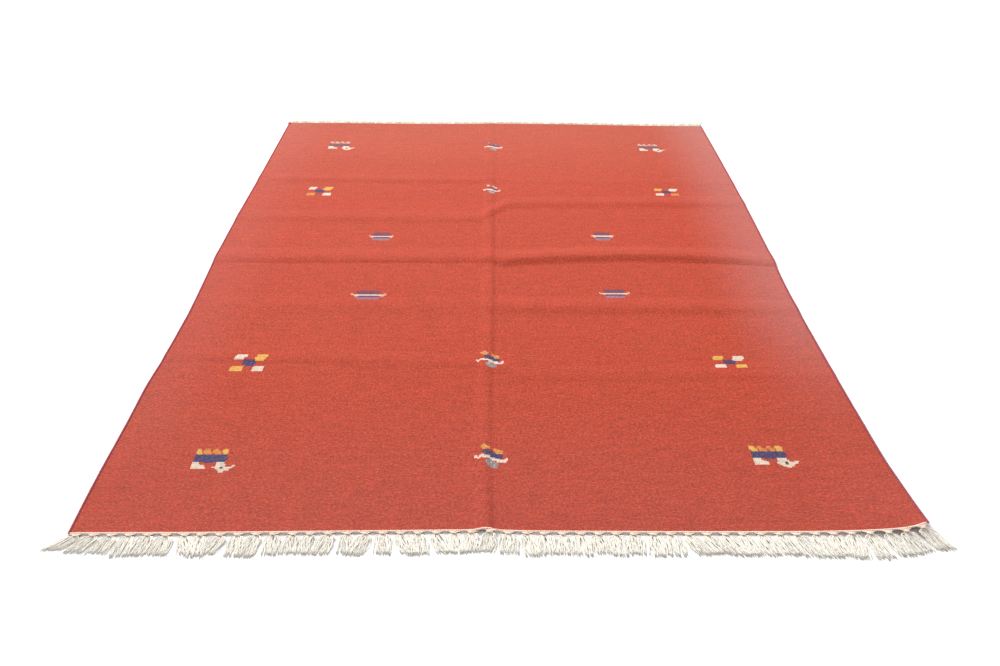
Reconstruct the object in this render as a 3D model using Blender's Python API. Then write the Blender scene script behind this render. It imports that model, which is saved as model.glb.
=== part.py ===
"""A flat-woven kilim rug, lying open on the floor as it does after being folded up.

The woven field, the overcast selvedge along each side, the twined cotton cord
across each end and the knotted warp fringe at each end are separate pieces.
X runs across the rug, Y along it from the near end to the far end, and the
floor is at Z = 0. Inside the functions a place on the rug is given by
"across", metres from the middle line, and "along", metres from the near end,
as they are on the loom; lay() turns them into the place on the floor.
"""

from collections import namedtuple
import random

import bmesh
import bpy
from mathutils import Matrix
import numpy as np

# Woven size, over the selvedges and end cords, without the fringes
RUG_WIDTH = 1.700
RUG_LENGTH = 2.400
CLOTH_THICK = 0.003
PIECE_GAP = 0.0003

# Edge finishes
SELVEDGE_WIDE = 0.0055
SELVEDGE_HIGH = 0.0050
END_CORD_DEEP = 0.0050
END_CORD_HIGH = 0.0055

# Fringe: groups of warp ends, each tied in a knot close to the end cord
TASSEL_COUNT = 48
TASSEL_SEED = 11
HEAD_DEEP = 0.0040
KNOT_LONG = 0.011
KNOT_HALF = 0.0050
KNOT_HIGH = 0.0070
TIP_HALF = 0.0165
TIP_HIGH = 0.0035
TIP_CLEARANCE = 0.0010
LEAN_AT_KNOT = 0.15
LEAN_SWAY = 0.002
REACH_SWAY = 0.006

# The lengthwise crease, from storing the rug folded in half
CREASE_LEFT = 0.034
CREASE_RIGHT = 0.018
CREASE_CLEAR = 0.060        # no other lengthwise mesh line comes as near the middle as this

# The near right corner curls up off the floor
CORNER_RISE = 0.012
CORNER_REACH = 0.30

# Offsets of the ends fade out along the rug with these powers
NEAR_FADE = 4
FAR_FADE = 2

# Mesh lines across each fold, from one foot of the ridge to the other
RIDGE_STEPS = (-1.0, -0.5, 0.0, 0.5, 1.0)
# Further mesh lines, where the sides and the corner curve
NEAR_LINES = (0.045, 0.10, 0.16, 0.23, 0.31, 0.42)
FAR_LINES = (1.95, 2.12, 2.29)

SideRow = namedtuple("SideRow", "along left right")
EndRow = namedtuple("EndRow", "across near far")
FoldRow = namedtuple("FoldRow", "left_edge left_mid right_mid right_edge bow left_rise right_rise half")
CreaseRow = namedtuple("CreaseRow", "along across rise")
LeanRow = namedtuple("LeanRow", "across lean reach")

# How far each side stands out from a straight side, metres
SIDE_ROWS = (
    SideRow(0.00, left=-0.020, right=0.009),
    SideRow(0.05, left=-0.018, right=0.005),
    SideRow(0.12, left=-0.016, right=0.002),
    SideRow(0.20, left=-0.015, right=-0.003),
    SideRow(0.36, left=-0.015, right=-0.007),
    SideRow(0.50, left=-0.012, right=-0.010),
    SideRow(0.62, left=-0.017, right=-0.012),
    SideRow(0.86, left=-0.018, right=-0.015),
    SideRow(1.04, left=-0.011, right=-0.013),
    SideRow(1.20, left=-0.004, right=-0.007),
    SideRow(1.52, left=-0.001, right=-0.002),
    SideRow(1.80, left=-0.002, right=-0.001),
    SideRow(2.15, left=-0.001, right=-0.002),
    SideRow(2.40, left=0.000, right=-0.004),
)

# How far each end stands out from a straight end, metres
END_ROWS = (
    EndRow(-0.85, near=0.006, far=0.012),
    EndRow(-0.60, near=0.005, far=0.008),
    EndRow(-0.30, near=0.001, far=-0.002),
    EndRow(-0.08, near=-0.002, far=-0.001),
    EndRow(-0.024, near=-0.003, far=0.002),
    EndRow(0.06, near=0.001, far=0.002),
    EndRow(0.32, near=0.003, far=-0.008),
    EndRow(0.50, near=0.003, far=-0.019),
    EndRow(0.64, near=0.003, far=-0.026),
    EndRow(0.74, near=0.003, far=-0.029),
    EndRow(0.81, near=0.000, far=-0.030),
    EndRow(0.85, near=-0.015, far=-0.032),
)

# The lengthwise crease: where its crest runs and how high it stands
CREASE_ROWS = (
    CreaseRow(0.00, across=-0.024, rise=0.0060),
    CreaseRow(0.14, across=-0.023, rise=0.0036),
    CreaseRow(0.45, across=-0.018, rise=0.0034),
    CreaseRow(0.95, across=-0.010, rise=0.0042),
    CreaseRow(1.65, across=-0.012, rise=0.0036),
    CreaseRow(2.00, across=-0.012, rise=0.0014),
    CreaseRow(2.40, across=-0.010, rise=0.0010),
)

# Cross folds: where the crest of each runs, how far its right half bows toward the far end,
# its rise in each half, and its half width on the far side
FOLD_ROWS = (
    FoldRow(0.640, 0.600, 0.545, 0.553, 0.0, left_rise=0.0018, right_rise=0.0016, half=0.055),
    FoldRow(0.880, 0.880, 0.878, 0.872, 0.0, left_rise=0.0016, right_rise=0.0050, half=0.072),
    FoldRow(1.178, 1.177, 1.158, 1.160, 0.032, left_rise=0.0047, right_rise=0.0108, half=0.080),
    FoldRow(1.472, 1.462, 1.578, 1.600, 0.0, left_rise=0.0036, right_rise=0.0056, half=0.072),
    FoldRow(1.800, 1.785, 1.780, 1.780, 0.0, left_rise=0.0035, right_rise=0.0012, half=0.055),
)
# The near side of a fold is shorter and its foot more hollow, and the folds flatten toward
# the sides
NEAR_FLANK = 0.60
NEAR_POWER = 3
FAR_POWER = 2
FLAT_FROM = 0.62
FLAT_BY = 0.55
# The folds of the two halves meet over this distance either side of the middle
FOLD_MID = 0.045

# How the tassels lie: how far the tips lean to the right, and how far out they reach
NEAR_LEANS = (
    LeanRow(-0.85, lean=-0.047, reach=0.046),
    LeanRow(-0.80, lean=-0.026, reach=0.054),
    LeanRow(-0.72, lean=-0.006, reach=0.064),
    LeanRow(-0.45, lean=-0.001, reach=0.064),
    LeanRow(-0.15, lean=0.006, reach=0.064),
    LeanRow(0.00, lean=-0.002, reach=0.065),
    LeanRow(0.32, lean=0.006, reach=0.064),
    LeanRow(0.42, lean=0.024, reach=0.065),
    LeanRow(0.60, lean=0.020, reach=0.067),
    LeanRow(0.76, lean=0.020, reach=0.070),
    LeanRow(0.85, lean=0.036, reach=0.066),
)
FAR_LEANS = (
    LeanRow(-0.85, lean=-0.008, reach=0.068),
    LeanRow(-0.40, lean=0.003, reach=0.072),
    LeanRow(0.20, lean=-0.003, reach=0.070),
    LeanRow(0.85, lean=0.016, reach=0.070),
)

# Outline of a cord lying on the floor, as parts of its half width and its height
CORD_SECTION = ((-0.55, 0.0), (0.55, 0.0), (1.0, 0.5), (0.55, 1.0), (-0.55, 1.0), (-1.0, 0.5))


def read_rows(rows, place, key, column):
    """Read a column of a table at a place between its rows."""
    keys = [getattr(row, key) for row in rows]
    values = [getattr(row, column) for row in rows]
    return float(np.interp(place, keys, values))


def lay(across, along):
    """Where a point of the rug comes on the floor: its x and y."""
    left = read_rows(SIDE_ROWS, along, "along", "left")
    right = read_rows(SIDE_ROWS, along, "along", "right")
    near = read_rows(END_ROWS, across, "across", "near")
    far = read_rows(END_ROWS, across, "across", "far")
    part_across = across / RUG_WIDTH + 0.5
    part_along = min(max(along / RUG_LENGTH, 0.0), 1.0)
    x = across + right * part_across - left * (1.0 - part_across)
    y = along - near * (1.0 - part_along) ** NEAR_FADE + far * part_along ** FAR_FADE
    return x, y - RUG_LENGTH / 2


def ridge(distance, half, power):
    """Height of a soft ridge of height 1, at a distance from its crest."""
    part = min(abs(distance) / half, 1.0)
    return (1.0 - part * part) ** power


def fold_crest(fold, across):
    """How far along the rug a cross fold's crest runs."""
    places = (-RUG_WIDTH / 2, -FOLD_MID, FOLD_MID, RUG_WIDTH / 2)
    part = min(max((across - FOLD_MID) / (RUG_WIDTH / 2 - FOLD_MID), 0.0), 1.0)
    return float(np.interp(across, places, fold[:4])) + fold.bow * 4 * part * (1 - part)


def fold_rise(fold, across):
    """How high a cross fold stands at a place across the rug."""
    rise = float(np.interp(across, (-FOLD_MID, FOLD_MID), (fold.left_rise, fold.right_rise)))
    part = min(max((abs(across) - FLAT_FROM) / (RUG_WIDTH / 2 - FLAT_FROM), 0.0), 1.0)
    return rise * (1.0 - FLAT_BY * part)


def cloth_lift(across, along):
    """Height of the cloth's underside over the floor."""
    from_crease = across - read_rows(CREASE_ROWS, along, "along", "across")
    flank = CREASE_LEFT if from_crease < 0.0 else CREASE_RIGHT
    lift = read_rows(CREASE_ROWS, along, "along", "rise") * ridge(from_crease, flank, FAR_POWER)
    for fold in FOLD_ROWS:
        from_crest = along - fold_crest(fold, across)
        half = fold.half * (NEAR_FLANK if from_crest < 0.0 else 1.0)
        power = NEAR_POWER if from_crest < 0.0 else FAR_POWER
        lift += fold_rise(fold, across) * ridge(from_crest, half, power)
    from_corner = np.hypot(RUG_WIDTH / 2 - across, max(along, 0.0))
    lift += CORNER_RISE * max(1.0 - from_corner / CORNER_REACH, 0.0) ** 2
    return float(lift)


def lines_across(along):
    """Where the lengthwise mesh lines stand at one place along, from left to right."""
    crest = read_rows(CREASE_ROWS, along, "along", "across")
    crease = [crest + step * (CREASE_LEFT if step < 0 else CREASE_RIGHT) for step in RIDGE_STEPS]
    plain = [row.across for row in END_ROWS if abs(row.across) >= CREASE_CLEAR]
    return sorted(crease + plain)


def lines_along(across):
    """Where the mesh lines that run across the rug stand at one place across it."""
    lines = [0.0, *NEAR_LINES]
    last_foot = None
    for fold in FOLD_ROWS:
        crest = fold_crest(fold, across)
        feet = [crest + step * fold.half * (NEAR_FLANK if step < 0 else 1) for step in RIDGE_STEPS]
        if last_foot is not None:
            lines.append((last_foot + feet[0]) / 2)
        lines.extend(feet)
        last_foot = feet[-1]
    lines.extend(FAR_LINES)
    lines.append(RUG_LENGTH)
    return lines


def plain_material(name, colour, roughness):
    """A plain dyed yarn of one colour."""
    material = bpy.data.materials.new(name)
    material.use_nodes = True
    shader = material.node_tree.nodes["Principled BSDF"]
    shader.inputs["Base Color"].default_value = (*colour, 1.0)
    shader.inputs["Roughness"].default_value = roughness
    shader.inputs["Metallic"].default_value = 0.0
    return material


def red_wool():
    """Terracotta red wool of the field."""
    return plain_material("red_wool", (0.53, 0.10, 0.07), 0.9)


def crimson_wool():
    """Deeper crimson wool of the overcast selvedges."""
    return plain_material("crimson_wool", (0.33, 0.05, 0.06), 0.9)


def cream_cotton():
    """Undyed cotton of the warp and the end cords."""
    return plain_material("cream_cotton", (0.80, 0.74, 0.63), 0.85)


def add_object(name, mesh, material):
    """Put a finished mesh into the scene under its own name."""
    data = bpy.data.meshes.new(name)
    mesh.to_mesh(data)
    mesh.free()
    data.materials.append(material)
    thing = bpy.data.objects.new(name, data)
    bpy.context.scene.collection.objects.link(thing)
    return thing


def sheet_solid(name, spots, cells, material):
    """Close a sheet of cells into a solid: each spot is x, y, underside and top."""
    mesh = bmesh.new()
    low = [mesh.verts.new((x, y, under)) for x, y, under, top in spots]
    high = [mesh.verts.new((x, y, top)) for x, y, under, top in spots]
    edges = set()
    for one, two, three, four in cells:
        for corner in ((one, two, three), (one, three, four)):
            mesh.faces.new([high[i] for i in corner])
            mesh.faces.new([low[i] for i in reversed(corner)])
        edges.update(((one, two), (two, three), (three, four), (four, one)))
    for start, end in sorted(edges):
        if (end, start) not in edges:
            mesh.faces.new((low[start], low[end], high[end]))
            mesh.faces.new((low[start], high[end], high[start]))
    return add_object(name, mesh, material)


def woven_field():
    """The red cloth between the selvedges and the end cords, with its folds."""
    side = SELVEDGE_WIDE + PIECE_GAP
    end = END_CORD_DEEP + PIECE_GAP
    spots = []
    columns = lines_across(RUG_LENGTH / 2)
    for column, middle in enumerate(columns):
        for along in lines_along(middle):
            along = min(max(along, end), RUG_LENGTH - end)
            across = lines_across(along)[column]
            across = min(max(across, -RUG_WIDTH / 2 + side), RUG_WIDTH / 2 - side)
            lift = cloth_lift(across, along)
            spots.append((*lay(across, along), lift, lift + CLOTH_THICK))
    rows = len(spots) // len(columns)
    cells = []
    for column in range(len(columns) - 1):
        for row in range(rows - 1):
            corner = column * rows + row
            cells.append((corner, corner + rows, corner + rows + 1, corner + 1))
    return sheet_solid("woven_field", spots, cells, red_wool())


def cord_along(name, places, half, high, sideways, material):
    """A flattened cord through a list of places, its section standing square to it."""
    mesh = bmesh.new()
    rings = []
    for across, along in places:
        lift = cloth_lift(across, along)
        ring = []
        for part_wide, part_high in CORD_SECTION:
            offset = part_wide * half
            x, y = lay(across + offset * sideways[0], along + offset * sideways[1])
            ring.append(mesh.verts.new((x, y, lift + part_high * high)))
        rings.append(ring)
    for ring, following in zip(rings, rings[1:]):
        for i in range(len(ring)):
            j = (i + 1) % len(ring)
            mesh.faces.new((ring[i], ring[j], following[j]))
            mesh.faces.new((ring[i], following[j], following[i]))
    mesh.faces.new(rings[0])
    mesh.faces.new(rings[-1])
    bmesh.ops.recalc_face_normals(mesh, faces=mesh.faces[:])
    return add_object(name, mesh, material)


def selvedge(name, side):
    """The overcast edge cord down one long side; side is -1 for left, 1 for right."""
    across = side * (RUG_WIDTH - SELVEDGE_WIDE) / 2
    places = [(across, along) for along in lines_along(across)]
    return cord_along(name, places, SELVEDGE_WIDE / 2, SELVEDGE_HIGH, (1, 0), crimson_wool())


def end_cord(name, middle):
    """The twined cotton cord across one end, its middle line at a place along the rug."""
    limit = RUG_WIDTH / 2 - SELVEDGE_WIDE - PIECE_GAP
    places = [(min(max(across, -limit), limit), middle) for across in lines_across(middle)]
    return cord_along(name, places, END_CORD_DEEP / 2, END_CORD_HIGH, (0, 1), cream_cotton())


def tassel_rows(leans, seed):
    """One row for each tassel: where it is tied, and how its tip leans and reaches."""
    sway = random.Random(seed)
    pitch = RUG_WIDTH / TASSEL_COUNT
    rows = []
    for i in range(TASSEL_COUNT):
        across = -RUG_WIDTH / 2 + pitch * (i + 0.5)
        lean = read_rows(leans, across, "across", "lean") + sway.uniform(-LEAN_SWAY, LEAN_SWAY)
        reach = read_rows(leans, across, "across", "reach") + sway.uniform(-REACH_SWAY, 0.0)
        rows.append(LeanRow(across, lean, reach))
    return rows


def tip_halves(tassels):
    """Half width of each tassel's tip, kept clear of the tips beside it."""
    tips = [row.across + row.lean for row in tassels]
    halves = []
    for i, tip in enumerate(tips):
        beside = [abs(tip - tips[j]) for j in (i - 1, i + 1) if 0 <= j < len(tips)]
        halves.append(min(TIP_HALF, min(beside) / 2 - TIP_CLEARANCE))
    return halves


def fringe(name, far_end, leans, seed):
    """One comb of knotted warp ends, from one side of the rug to the other."""
    spots = []
    cells = []
    end = RUG_LENGTH if far_end else 0.0

    def add_spot(across, out, under, top):
        """Add a corner of the comb, at a distance out from the end of the rug."""
        along = end + out if far_end else -out
        spots.append((*lay(across, along), under, top))
        return len(spots) - 1

    def add_cell(one, two, three, four):
        """Add a cell whose corners run anticlockwise at the far end."""
        cells.append((one, two, three, four) if far_end else (four, three, two, one))

    def head_pair(across):
        """The inner and outer corner of the headed strip beside the end cord, and its place."""
        lift = cloth_lift(across, end)
        top = lift + END_CORD_HIGH
        inner = add_spot(across, PIECE_GAP, lift, top)
        outer = add_spot(across, HEAD_DEEP, lift, top)
        return inner, outer, across

    strip = [head_pair(-RUG_WIDTH / 2)]

    def run_head_to(across):
        """Carry the headed strip on to a place across the rug, over each mesh line between."""
        start = strip[-1][2]
        stops = [line for line in lines_across(end) if start < line < across]
        for stop in (*stops, across):
            pair = head_pair(stop)
            add_cell(strip[-1][0], pair[0], pair[1], strip[-1][1])
            strip.append(pair)
        return strip[-1]

    tassels = tassel_rows(leans, seed)
    for tassel, tip_half in zip(tassels, tip_halves(tassels)):
        left_head = run_head_to(tassel.across - KNOT_HALF)
        strip.append(head_pair(tassel.across + KNOT_HALF))
        right_head = strip[-1]
        knot_low = cloth_lift(tassel.across, end) / 2
        knot_out = HEAD_DEEP + KNOT_LONG
        knot = []
        tip = []
        for side in (-1, 1):
            across = tassel.across + LEAN_AT_KNOT * tassel.lean + side * KNOT_HALF
            knot.append(add_spot(across, knot_out, knot_low, knot_low + KNOT_HIGH))
            across = tassel.across + tassel.lean + side * tip_half
            tip.append(add_spot(across, tassel.reach, 0.0, TIP_HIGH))
        add_cell(left_head[0], right_head[0], right_head[1], left_head[1])
        add_cell(left_head[1], right_head[1], knot[1], knot[0])
        add_cell(knot[0], knot[1], tip[1], tip[0])
    run_head_to(RUG_WIDTH / 2)
    return sheet_solid(name, spots, cells, cream_cotton())


def centre_on_floor(pieces):
    """Move the whole rug so that its box is centred over the origin."""
    corners = np.array([vertex.co for piece in pieces for vertex in piece.data.vertices])
    low = corners.min(axis=0)
    high = corners.max(axis=0)
    shift = Matrix.Translation((-(low[0] + high[0]) / 2, -(low[1] + high[1]) / 2, -low[2]))
    for piece in pieces:
        piece.data.transform(shift)


def main():
    """Clear the scene and build the rug."""
    for thing in list(bpy.data.objects):
        bpy.data.objects.remove(thing, do_unlink=True)
    pieces = [
        woven_field(),
        selvedge("selvedge_left", -1),
        selvedge("selvedge_right", 1),
        end_cord("end_cord_near", END_CORD_DEEP / 2),
        end_cord("end_cord_far", RUG_LENGTH - END_CORD_DEEP / 2),
        fringe("fringe_near", False, NEAR_LEANS, TASSEL_SEED),
        fringe("fringe_far", True, FAR_LEANS, TASSEL_SEED + 1),
    ]
    centre_on_floor(pieces)


main()
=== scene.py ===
"""A flat-woven kilim rug: dyed wool weft beaten down over a cotton warp, lying open on the
floor after being stored folded up.

X runs across the rug and Y along it. Inside the functions a place on the cloth is given as
it was on the loom: "across" is metres from the middle line and "along" is metres from the
near end. lay() turns them into the place on the floor.
"""

from collections import namedtuple
import math

import bpy
import numpy as np
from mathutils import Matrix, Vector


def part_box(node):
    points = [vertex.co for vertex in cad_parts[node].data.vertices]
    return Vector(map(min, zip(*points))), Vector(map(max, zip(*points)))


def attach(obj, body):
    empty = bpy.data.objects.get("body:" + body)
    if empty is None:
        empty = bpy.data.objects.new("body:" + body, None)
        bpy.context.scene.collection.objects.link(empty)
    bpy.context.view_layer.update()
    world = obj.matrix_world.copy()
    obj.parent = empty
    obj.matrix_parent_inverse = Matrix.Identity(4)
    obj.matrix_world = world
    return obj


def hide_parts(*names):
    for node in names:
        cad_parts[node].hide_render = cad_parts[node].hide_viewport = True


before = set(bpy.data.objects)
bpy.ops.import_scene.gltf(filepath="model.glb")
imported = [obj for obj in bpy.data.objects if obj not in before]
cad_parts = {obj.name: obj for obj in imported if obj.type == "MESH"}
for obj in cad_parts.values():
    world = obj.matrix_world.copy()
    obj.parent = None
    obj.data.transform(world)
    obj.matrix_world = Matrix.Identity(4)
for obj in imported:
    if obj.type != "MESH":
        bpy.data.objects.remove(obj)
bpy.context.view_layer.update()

# Woven size, over the selvedges and end cords, and the edge finishes
RUG_WIDTH = 1.700
RUG_LENGTH = 2.400
CLOTH_THICK = 0.003
PIECE_GAP = 0.0003
SELVEDGE_WIDE = 0.0055
SELVEDGE_HIGH = 0.0050
END_CORD_DEEP = 0.0050
END_CORD_HIGH = 0.0055

# The weave. A real one has a warp every 2.5 mm or so and a pick of weft every millimetre or
# less, which is too fine to show, so a warp is drawn every 3.5 mm and a bead every 2.6 mm
WARP_PITCH = 0.0035
WEFT_BEAD = 0.0026

# Spacing of the mesh over the plain cloth, and over the motifs and the tallest fold
PLAIN_ACROSS = 0.0135
PLAIN_ALONG = 0.0125
FINE_ACROSS = 0.0035
FINE_ALONG = 0.0032
FINE_MARGIN = 0.004
MAIN_FOLD_ZONE = (1.100, 1.270)

# The underside has every fourth mesh line, and is drawn a little low to stay clear of the top
UNDERSIDE_STEP = 4
UNDERSIDE_DROP = 0.0004

# The field's flat map: the metres that its square covers, its margin, and where the small copy
# of the underside goes in it
MAP_SIDE = RUG_LENGTH * 1.02
MAP_MARGIN = 0.004
TOP_MAP_MIDDLE = (0.36, 0.5)
UNDER_MAP_MIDDLE = (0.80, 0.5)
UNDER_MAP_SCALE = 0.2

# How far the lengthwise crease slopes down on each side of its crest
CREASE_LEFT = 0.034
CREASE_RIGHT = 0.018
# The near right corner, which curls up off the floor
CORNER_RISE = 0.012
CORNER_REACH = 0.30
# The powers by which the shape of each end dies out along the rug
NEAR_FADE = 4
FAR_FADE = 2
# Half the strip in the middle where a fold passes from its left half to its right half
FOLD_MID = 0.045
# How far the corners of the tables of sides, ends and crest are rounded off
SIDE_SOFTEN = 0.03
END_SOFTEN = 0.02
CREST_SOFTEN = 0.05
# A narrow crease wanders a little, and gets shallower toward its ends, to this part of its rise
CREASE_WANDER = 0.003
CREASE_FADE = 0.06
CREASE_END_PART = 0.4
# Unevenness from the loom: soft swells, and low ribs that run five times as long across
SWELL_RISE = 0.0004
RIB_RISE = 0.0003
RIB_STRETCH = 0.2

# Selvedge: one overcast turn beside another, the radius of their yarn, how far it winds to the
# side and up and down about the middle, and how far that middle is raised
TURN_PITCH = 0.0036
TURN_YARN = 0.0015
TURN_ASIDE = 0.0013
TURN_UP = 0.0010
TURN_RAISE = 0.0003
# The left selvedge is knotted off at the far end, where its turns swell
END_KNOT_AT = 2.391
END_KNOT_HALF = 0.010
END_KNOT_SWELL = 1.3

# Twined end cord: one twist of its strands, their radius, how far they wind about the middle,
# how far that middle is raised, and how far short of the selvedge the cord ends
TWINE_PITCH = 0.0088
TWINE_STRAND = 0.0014
TWINE_WIND = 0.0008
TWINE_RAISE = 0.0006
TWINE_SHORT = 0.001

# Tassels: each is knotted a little off its place and reaches a little less or more than its row
# says, its yarns spread this far to each side, and its knot is this far out from the cloth
TASSEL_COUNT = 48
TASSEL_PITCH = RUG_WIDTH / TASSEL_COUNT
TASSEL_RINGS = 14
TASSEL_JITTER = 0.003
TASSEL_SPREAD = (0.0150, 0.0178)
REACH_JITTER = (-0.007, 0.001)
KNOT_OUT = (0.0052, 0.0064)
# The yarns in a tassel, from 25 up to 28, and their radius. Real warp ends are thinner and more
# than these, too fine to show, so each yarn here stands for a few of them
YARN_COUNT = (25, 29)
YARN_RADIUS = (0.00105, 0.00135)
WRAP_RADIUS = (0.00120, 0.00140)
YARN_TAPER = 0.45
# The shares by which a yarn leans, spreads and runs out, at four places between knot and tip
YARN_SHARES = ((0.10, 0.74, 0.08), (0.26, 0.94, 0.24), (0.48, 0.99, 0.48), (0.74, 1.02, 0.74))
YARN_SWAY = 0.0026
# The crimp that the weave leaves in the warp ends: its height, and its radians over a yarn
CRIMP = 0.0006
CRIMP_RADIANS = 22.0
# The wrap of a knot: how many turns it has, how wide and high it is, and how long
WRAP_TURNS = 2.4
WRAP_RINGS = 24
WRAP_WIDE = 0.0050
WRAP_HIGH = 0.0026
WRAP_HALF = 0.0022
# How far out from the cloth the red dye has bled
BLEED_REACH = 0.011

SideRow = namedtuple("SideRow", "along left right")
EndRow = namedtuple("EndRow", "across near far")
FoldRow = namedtuple("FoldRow", "left_edge left_mid right_mid right_edge bow left_rise right_rise half")
CrestRow = namedtuple("CrestRow", "along across rise")
CreaseRow = namedtuple("CreaseRow", "start end along_start along_end rise half")
LeanRow = namedtuple("LeanRow", "across lean reach")
MotifRow = namedtuple("MotifRow", "chart across along wide deep blocks")

# How far each side stands out from a straight side, metres
SIDE_ROWS = (
    SideRow(0.00, left=-0.020, right=0.009),
    SideRow(0.05, left=-0.018, right=0.005),
    SideRow(0.12, left=-0.016, right=0.002),
    SideRow(0.20, left=-0.015, right=-0.003),
    SideRow(0.36, left=-0.015, right=-0.007),
    SideRow(0.50, left=-0.012, right=-0.010),
    SideRow(0.62, left=-0.017, right=-0.012),
    SideRow(0.86, left=-0.018, right=-0.015),
    SideRow(1.04, left=-0.011, right=-0.013),
    SideRow(1.20, left=-0.004, right=-0.007),
    SideRow(1.52, left=-0.001, right=-0.002),
    SideRow(1.80, left=-0.002, right=-0.001),
    SideRow(2.15, left=-0.001, right=-0.002),
    SideRow(2.40, left=0.000, right=-0.004),
)

# How far each end stands out from a straight end, metres
END_ROWS = (
    EndRow(-0.85, near=0.006, far=0.012),
    EndRow(-0.60, near=0.005, far=0.008),
    EndRow(-0.30, near=0.001, far=-0.002),
    EndRow(-0.08, near=-0.002, far=-0.001),
    EndRow(-0.024, near=-0.003, far=0.002),
    EndRow(0.06, near=0.001, far=0.002),
    EndRow(0.32, near=0.003, far=-0.008),
    EndRow(0.50, near=0.003, far=-0.019),
    EndRow(0.64, near=0.003, far=-0.026),
    EndRow(0.74, near=0.003, far=-0.029),
    EndRow(0.81, near=0.000, far=-0.030),
    EndRow(0.85, near=-0.015, far=-0.032),
)

# The lengthwise crease: where its crest runs and how high it stands
CREASE_LINE = (
    CrestRow(0.00, across=-0.024, rise=0.0060),
    CrestRow(0.14, across=-0.023, rise=0.0036),
    CrestRow(0.45, across=-0.018, rise=0.0034),
    CrestRow(0.95, across=-0.010, rise=0.0042),
    CrestRow(1.65, across=-0.012, rise=0.0036),
    CrestRow(2.00, across=-0.012, rise=0.0014),
    CrestRow(2.40, across=-0.010, rise=0.0010),
)

# Cross folds: where the crest of each runs, how far its right half bows toward the far end,
# its rise in each half, and its half width on the far side
FOLD_ROWS = (
    FoldRow(0.640, 0.600, 0.545, 0.553, 0.0, left_rise=0.0018, right_rise=0.0016, half=0.055),
    FoldRow(0.880, 0.880, 0.878, 0.872, 0.0, left_rise=0.0016, right_rise=0.0050, half=0.072),
    FoldRow(1.178, 1.177, 1.158, 1.160, 0.032, left_rise=0.0047, right_rise=0.0108, half=0.080),
    FoldRow(1.472, 1.462, 1.578, 1.600, 0.0, left_rise=0.0036, right_rise=0.0056, half=0.072),
    FoldRow(1.800, 1.785, 1.780, 1.780, 0.0, left_rise=0.0035, right_rise=0.0012, half=0.055),
)
# The near side of a fold is shorter and its foot more hollow, and the folds flatten toward
# the sides
NEAR_FLANK = 0.60
NEAR_POWER = 3
FAR_POWER = 2
FLAT_FROM = 0.62
FLAT_BY = 0.55

# Narrow troughs creased into the folds
CREASE_ROWS = (
    CreaseRow(-0.85, -0.01, 1.140, 1.142, rise=-0.0012, half=0.018),
    CreaseRow(-0.30, -0.01, 1.120, 1.114, rise=-0.0010, half=0.008),
    CreaseRow(0.58, 0.85, 1.150, 1.128, rise=-0.0012, half=0.011),
    CreaseRow(-0.85, -0.01, 0.872, 0.878, rise=-0.0007, half=0.009),
    CreaseRow(-0.05, 0.06, 0.545, 0.555, rise=-0.0009, half=0.010),
)

# How the tassels lie: how far the tips lean to the right, and how far out they reach
NEAR_LEANS = (
    LeanRow(-0.850, lean=-0.047, reach=0.044),
    LeanRow(-0.800, lean=-0.028, reach=0.052),
    LeanRow(-0.765, lean=-0.014, reach=0.058),
    LeanRow(-0.730, lean=-0.004, reach=0.064),
    LeanRow(-0.695, lean=-0.012, reach=0.060),
    LeanRow(-0.650, lean=-0.003, reach=0.062),
    LeanRow(-0.350, lean=0.003, reach=0.062),
    LeanRow(-0.150, lean=0.010, reach=0.062),
    LeanRow(-0.080, lean=0.012, reach=0.062),
    LeanRow(-0.050, lean=-0.006, reach=0.060),
    LeanRow(-0.017, lean=-0.008, reach=0.062),
    LeanRow(0.030, lean=0.002, reach=0.063),
    LeanRow(0.190, lean=0.008, reach=0.062),
    LeanRow(0.260, lean=0.003, reach=0.062),
    LeanRow(0.320, lean=0.008, reach=0.062),
    LeanRow(0.360, lean=0.030, reach=0.060),
    LeanRow(0.440, lean=0.024, reach=0.063),
    LeanRow(0.510, lean=0.016, reach=0.064),
    LeanRow(0.580, lean=0.024, reach=0.064),
    LeanRow(0.650, lean=0.016, reach=0.066),
    LeanRow(0.690, lean=0.004, reach=0.068),
    LeanRow(0.760, lean=0.020, reach=0.068),
    LeanRow(0.800, lean=0.022, reach=0.066),
    LeanRow(0.850, lean=0.036, reach=0.062),
)
FAR_LEANS = (
    LeanRow(-0.85, lean=-0.008, reach=0.068),
    LeanRow(-0.40, lean=0.003, reach=0.072),
    LeanRow(0.20, lean=-0.003, reach=0.070),
    LeanRow(0.85, lean=0.016, reach=0.070),
)
# Places where two tassels lie apart and the floor shows between them
NEAR_PARTINGS = (-0.623, -0.543, -0.468, -0.324, -0.258, -0.193, -0.124, -0.004, 0.042, 0.367)
PARTING_HALF = 0.008

# Yarn colours after dyeing: madder red ground, and the letters used in the charts
GROUND_RED = "#B33D27"
YARNS = {
    "n": "#3A3862",
    "v": "#723E50",
    "c": "#DBC8B6",
    "y": "#DBA54E",
    "o": "#CF823E",
    "g": "#91877F",
    "l": "#8E6C84",
    "k": "#4A4238",
    "p": "#C99A88",
}
# What the red goes toward: pale fibres, a grey toward the near end, and painted sheen and haze that
# pale the far end and the sides
PALE_FIBRE = "#D9A48E"
PAINTED_FAR_SHEEN = "#BCB49E"
NEAR_GREY = "#8C9094"
PAINTED_SIDE_HAZE = "#C2BFC2"
# The cream of the warp ends, reddened by dye that bled into them
BLED_COTTON = "#F6D6C0"

# In the charts a dot is the red ground, and letters A to D are changed for each motif's yarns

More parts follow.
